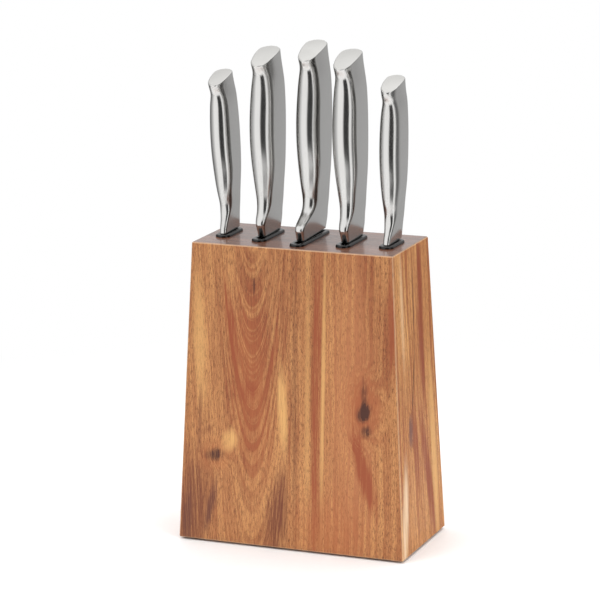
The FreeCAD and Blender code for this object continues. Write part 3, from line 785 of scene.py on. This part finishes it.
def dress_block():
    """Better finishes on the boards, panels and base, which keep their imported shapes."""
    x, y, z = 0, 1, 2
    looks = {
        "front_board_left": board_material(
            "left front board", x, z, HONEY, colour(142, 78, 48), 1.3, LEFT_BOARD_PATCHES,
            arch=(-29.0, 0.2), zone=(-29.0, 135.0, 24.0, 85.0), density=0.11, strength=0.8,
            fleck=0.75),
        "front_board_right": board_material(
            "right front board", x, z, HONEY, colour(148, 84, 50), 4.1, RIGHT_BOARD_PATCHES,
            strength=0.45, fleck=0.85),
        "side_board_right": board_material(
            "right side board", y, z, colour(228, 170, 106), colour(166, 96, 56), 6.7,
            RIGHT_SIDE_PATCHES, strength=0.45, coat=0.03, shine=0.12),
        "side_board_left": board_material(
            "left side board", y, z, HONEY, colour(178, 114, 76), 9.2, LEFT_SIDE_PATCHES,
            density=0.28, strength=0.55),
        "back_board_left": board_material(
            "left back board", x, z, HONEY, colour(174, 108, 72), 12.5, BACK_LEFT_PATCHES,
            density=0.26, strength=0.55),
        "back_board_right": board_material(
            "right back board", x, z, HONEY, colour(180, 116, 78), 15.8, BACK_RIGHT_PATCHES,
            arch=(40.0, 0.11), density=0.09, strength=0.65),
        "top_panel": board_material(
            "top panel", y, x, colour(138, 88, 62), colour(96, 58, 42), 18.4, strength=0.6,
            coat=0.95, rough=0.28),
        "base_panel": board_material(
            "base panel", y, x, colour(190, 140, 98), colour(156, 104, 70), 21.0, coat=0.1,
            rough=0.5),
    }
    for node, material in looks.items():
        give(frame["nodes"][node], material)


def make_knife(name, knife, handle_steel, butt_steel, blade_steel):
    """The knife's handle and blade, riding on its body. The butt's face is brushed."""
    grid = into_place(handle_grid(knife), name)
    handle = closed_surface("handle_" + name, grid)
    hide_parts(*(name + part for part in
                          ("_bolster", "_shell_left", "_shell_right", "_butt_cap")))
    blade = closed_surface("blade_" + name, into_place(blade_grid(knife), name), sharp=12.0)
    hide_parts(name + "_blade")
    for piece, material, slot in ((handle, handle_steel, "handle_steel"),
                                  (blade, blade_steel, "blade_steel")):
        give(piece, material)
        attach(piece, name + "_knife")
    handle.data.materials.append(butt_steel)
    columns = grid.shape[1]
    face = np.arange(len(handle.data.polygons))
    last_quad = (grid.shape[0] - 1) * columns
    first_rim = (FOOT_RINGS + SIDE_RINGS + RIM_RINGS // 2 + 1) * columns
    under_fan = (face >= last_quad) & (face < last_quad + columns)
    on_butt = (face >= first_rim) & ~under_fan
    handle.data.polygons.foreach_set("material_index", on_butt.astype(np.int32))


def make_knives():
    """The five knives, in three finishes of one steel."""
    handle_steel = steel_material("handle steel", colour(206, 205, 203), 0.14, 0.06, hair=0.05,
                                  smear_size=18.0)
    butt_steel = steel_material("butt steel", colour(214, 213, 210), 0.24, 0.12)
    blade_steel = steel_material("blade steel", colour(208, 208, 207), 0.2, 0.06, hair=0.06,
                                 smear_size=18.0)
    for name, knife in KNIVES.items():
        make_knife(name, knife, handle_steel, butt_steel, blade_steel)


def make_liners():
    """A liner in each slot, its flange on the top panel."""
    plastic = plastic_material()
    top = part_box("top_panel")[1][2] / MM
    for name, knife in KNIVES.items():
        low, high = (np.array(corner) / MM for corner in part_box("liner_" + name))
        middle = ((low[0] + high[0]) / 2.0, (low[1] + high[1]) / 2.0, top)
        liner = looped_surface("slot_liner_" + name, liner_grid(knife, middle))
        give(liner, plastic)
        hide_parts("liner_" + name)
        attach(liner, "block")


def make_feet():
    """The four rubber feet."""
    rubber = rubber_material()
    for corner in ("front_left", "front_right", "back_left", "back_right"):
        low, high = (np.array(c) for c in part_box("foot_" + corner))
        foot = closed_surface("rubber_foot_" + corner, foot_grid(low, high))
        give(foot, rubber)
        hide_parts("foot_" + corner)
        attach(foot, "block")


# ---- studio ----
WHITE = (1.0, 1.0, 1.0, 1.0)
GLOW_START, GLOW_FULL = 0.22, 0.6   # metres from the middle of the floor

# The room's brightness round the horizon: degrees from the front, brightness.
ROOM = [(-180, 0.5), (-168, 0.7), (-150, 0.7), (-140, 0.22), (-105, 0.22), (-78, 0.6),
        (-60, 0.8), (-38, 1.25), (-8, 1.25), (-2, 0.5), (5, 0.05), (54, 0.05),
        (60, 1.25), (76, 1.25), (84, 0.4), (93, 0.15), (114, 0.17), (130, 0.42),
        (154, 0.52), (180, 0.5)]
ROOM_STRENGTH = 2.0         # keeps the colours of the stops under 1

CAMERA_AZIMUTH = math.radians(21.88)
CAMERA_ELEVATION = math.radians(12.99)
CAMERA_ROLL = -0.0092066
CAMERA_DISTANCE = 2.0987
CAMERA_TARGET = np.array([-0.00714, -0.00287, 0.17527])
CAMERA_LENS = 175.33        # millimetres, on a sensor 36 wide


def make_floor():
    """Pale floor that turns to plain white glow far from the object."""
    around = np.linspace(0.0, 2.0 * math.pi, 96, endpoint=False)
    inner, outer, bevel = 0.5, 12.0, 0.1
    top, bottom = -0.00002, -0.02
    reach = np.array([inner, outer - bevel, outer, outer, outer - bevel, inner])[:, None]
    depth = np.array([bottom, bottom, -0.015, -0.005, top, top])[:, None]
    x, y = reach * np.cos(around), reach * np.sin(around)
    floor = closed_surface("studio_floor", np.stack([x, y, depth + 0.0 * x], -1))
    material, tree, shader = new_material("studio floor")
    place = object_place(tree)
    speck = noise(tree, place, 300.0, 2.0)
    tone = mixed(tree, speck, (0.86, 0.86, 0.86, 1.0), (0.9, 0.9, 0.9, 1.0))
    tree.links.new(tone, shader.inputs["Base Color"])
    shader.inputs["Roughness"].default_value = 0.6
    shader.inputs["Specular IOR Level"].default_value = 0.2
    far = put(tree, "ShaderNodeVectorMath", {0: place}, operation="LENGTH").outputs["Value"]
    glow = put(tree, "ShaderNodeEmission", {"Color": WHITE, "Strength": 1.0})
    clear = put(tree, "ShaderNodeBsdfTransparent")
    seen = put(tree, "ShaderNodeMixShader",
               {0: put(tree, "ShaderNodeLightPath").outputs["Is Camera Ray"]})
    tree.links.new(clear.outputs[0], seen.inputs[1])
    tree.links.new(glow.outputs[0], seen.inputs[2])
    blend = put(tree, "ShaderNodeMixShader", {0: ease(tree, far, GLOW_START, GLOW_FULL)})
    tree.links.new(shader.outputs[0], blend.inputs[1])
    tree.links.new(seen.outputs[0], blend.inputs[2])
    tree.links.new(blend.outputs[0], tree.nodes["Material Output"].inputs["Surface"])
    give(floor, material)


def make_room():
    """Soft studio round the object: brightness by direction round the horizon, one wide
    window of light to the front left, a narrow one to the right, pale above."""
    world = bpy.data.worlds.new("studio room")
    bpy.context.scene.world = world
    world.use_nodes = True
    tree = world.node_tree
    tree.nodes.clear()
    way = put(tree, "ShaderNodeTexCoord").outputs["Generated"]
    split = put(tree, "ShaderNodeSeparateXYZ", {0: way})
    turn = calc(tree, "ARCTAN2", split.outputs[0], calc(tree, "MULTIPLY", split.outputs[1], -1.0))
    share = calc(tree, "MULTIPLY_ADD", turn, 1.0 / (2.0 * math.pi), 0.5)
    ramp = put(tree, "ShaderNodeValToRGB", {"Fac": share})
    line = ramp.color_ramp
    while len(line.elements) > 1:
        line.elements.remove(line.elements[-1])
    for i, (angle, level) in enumerate(ROOM):
        place = (angle + 180.0) / 360.0
        stop = line.elements[0] if i == 0 else line.elements.new(place)
        stop.position = place
        stop.color = (*[level / ROOM_STRENGTH] * 3, 1.0)
    around = mixed(tree, ease(tree, split.outputs[2], 0.35, 0.85), ramp.outputs[0],
                   (0.62, 0.62, 0.62, 1.0))
    room = put(tree, "ShaderNodeBackground", {"Color": around, "Strength": ROOM_STRENGTH})
    plain = put(tree, "ShaderNodeBackground", {"Color": WHITE, "Strength": 1.0})
    seen = put(tree, "ShaderNodeLightPath").outputs["Is Camera Ray"]
    both = put(tree, "ShaderNodeMixShader", {0: seen})
    tree.links.new(room.outputs[0], both.inputs[1])
    tree.links.new(plain.outputs[0], both.inputs[2])
    out = put(tree, "ShaderNodeOutputWorld")
    tree.links.new(both.outputs[0], out.inputs["Surface"])


def soft_light(name, place, size, power, aim=(0.0, 0.0, 0.12)):
    """A square soft light that shines on the object and isn't mirrored in its steel."""
    lamp = bpy.data.lights.new(name, "AREA")
    lamp.size = size
    lamp.energy = power
    light = bpy.data.objects.new(name, lamp)
    bpy.context.scene.collection.objects.link(light)
    toward = np.array(aim) - np.array(place)
    light.location = place
    light.rotation_mode = "QUATERNION"
    light.rotation_quaternion = Vector(toward).to_track_quat("-Z", "Y")
    light.visible_glossy = False


def make_camera():
    """Long lens from the front right, a little above."""
    forward = np.array([-math.sin(CAMERA_AZIMUTH) * math.cos(CAMERA_ELEVATION),
                        math.cos(CAMERA_AZIMUTH) * math.cos(CAMERA_ELEVATION),
                        -math.sin(CAMERA_ELEVATION)])
    level = np.array([math.cos(CAMERA_AZIMUTH), math.sin(CAMERA_AZIMUTH), 0.0])
    rise = np.cross(level, forward)
    right = math.cos(CAMERA_ROLL) * level + math.sin(CAMERA_ROLL) * rise
    lens = bpy.data.cameras.new("camera")
    lens.lens = CAMERA_LENS
    lens.sensor_width = 36.0
    lens.clip_start = 0.1
    lens.clip_end = 50.0
    camera = bpy.data.objects.new("camera", lens)
    bpy.context.scene.collection.objects.link(camera)
    turned = np.eye(4)
    turned[:3, :3] = np.stack([right, np.cross(right, forward), -forward], 1)
    turned[:3, 3] = CAMERA_TARGET - forward * CAMERA_DISTANCE
    camera.matrix_world = Matrix(turned.tolist())
    bpy.context.scene.camera = camera


dress_block()
make_knives()
make_liners()
make_feet()
make_floor()
make_room()
soft_light("key light", (-1.1, -1.5, 1.6), 1.2, 15.5)
soft_light("fill light", (1.6, -0.8, 1.1), 1.2, 12.0)
soft_light("top light", (0.1, 0.4, 2.0), 1.6, 15.0)
make_camera()
bpy.context.scene.view_settings.view_transform = "Standard"
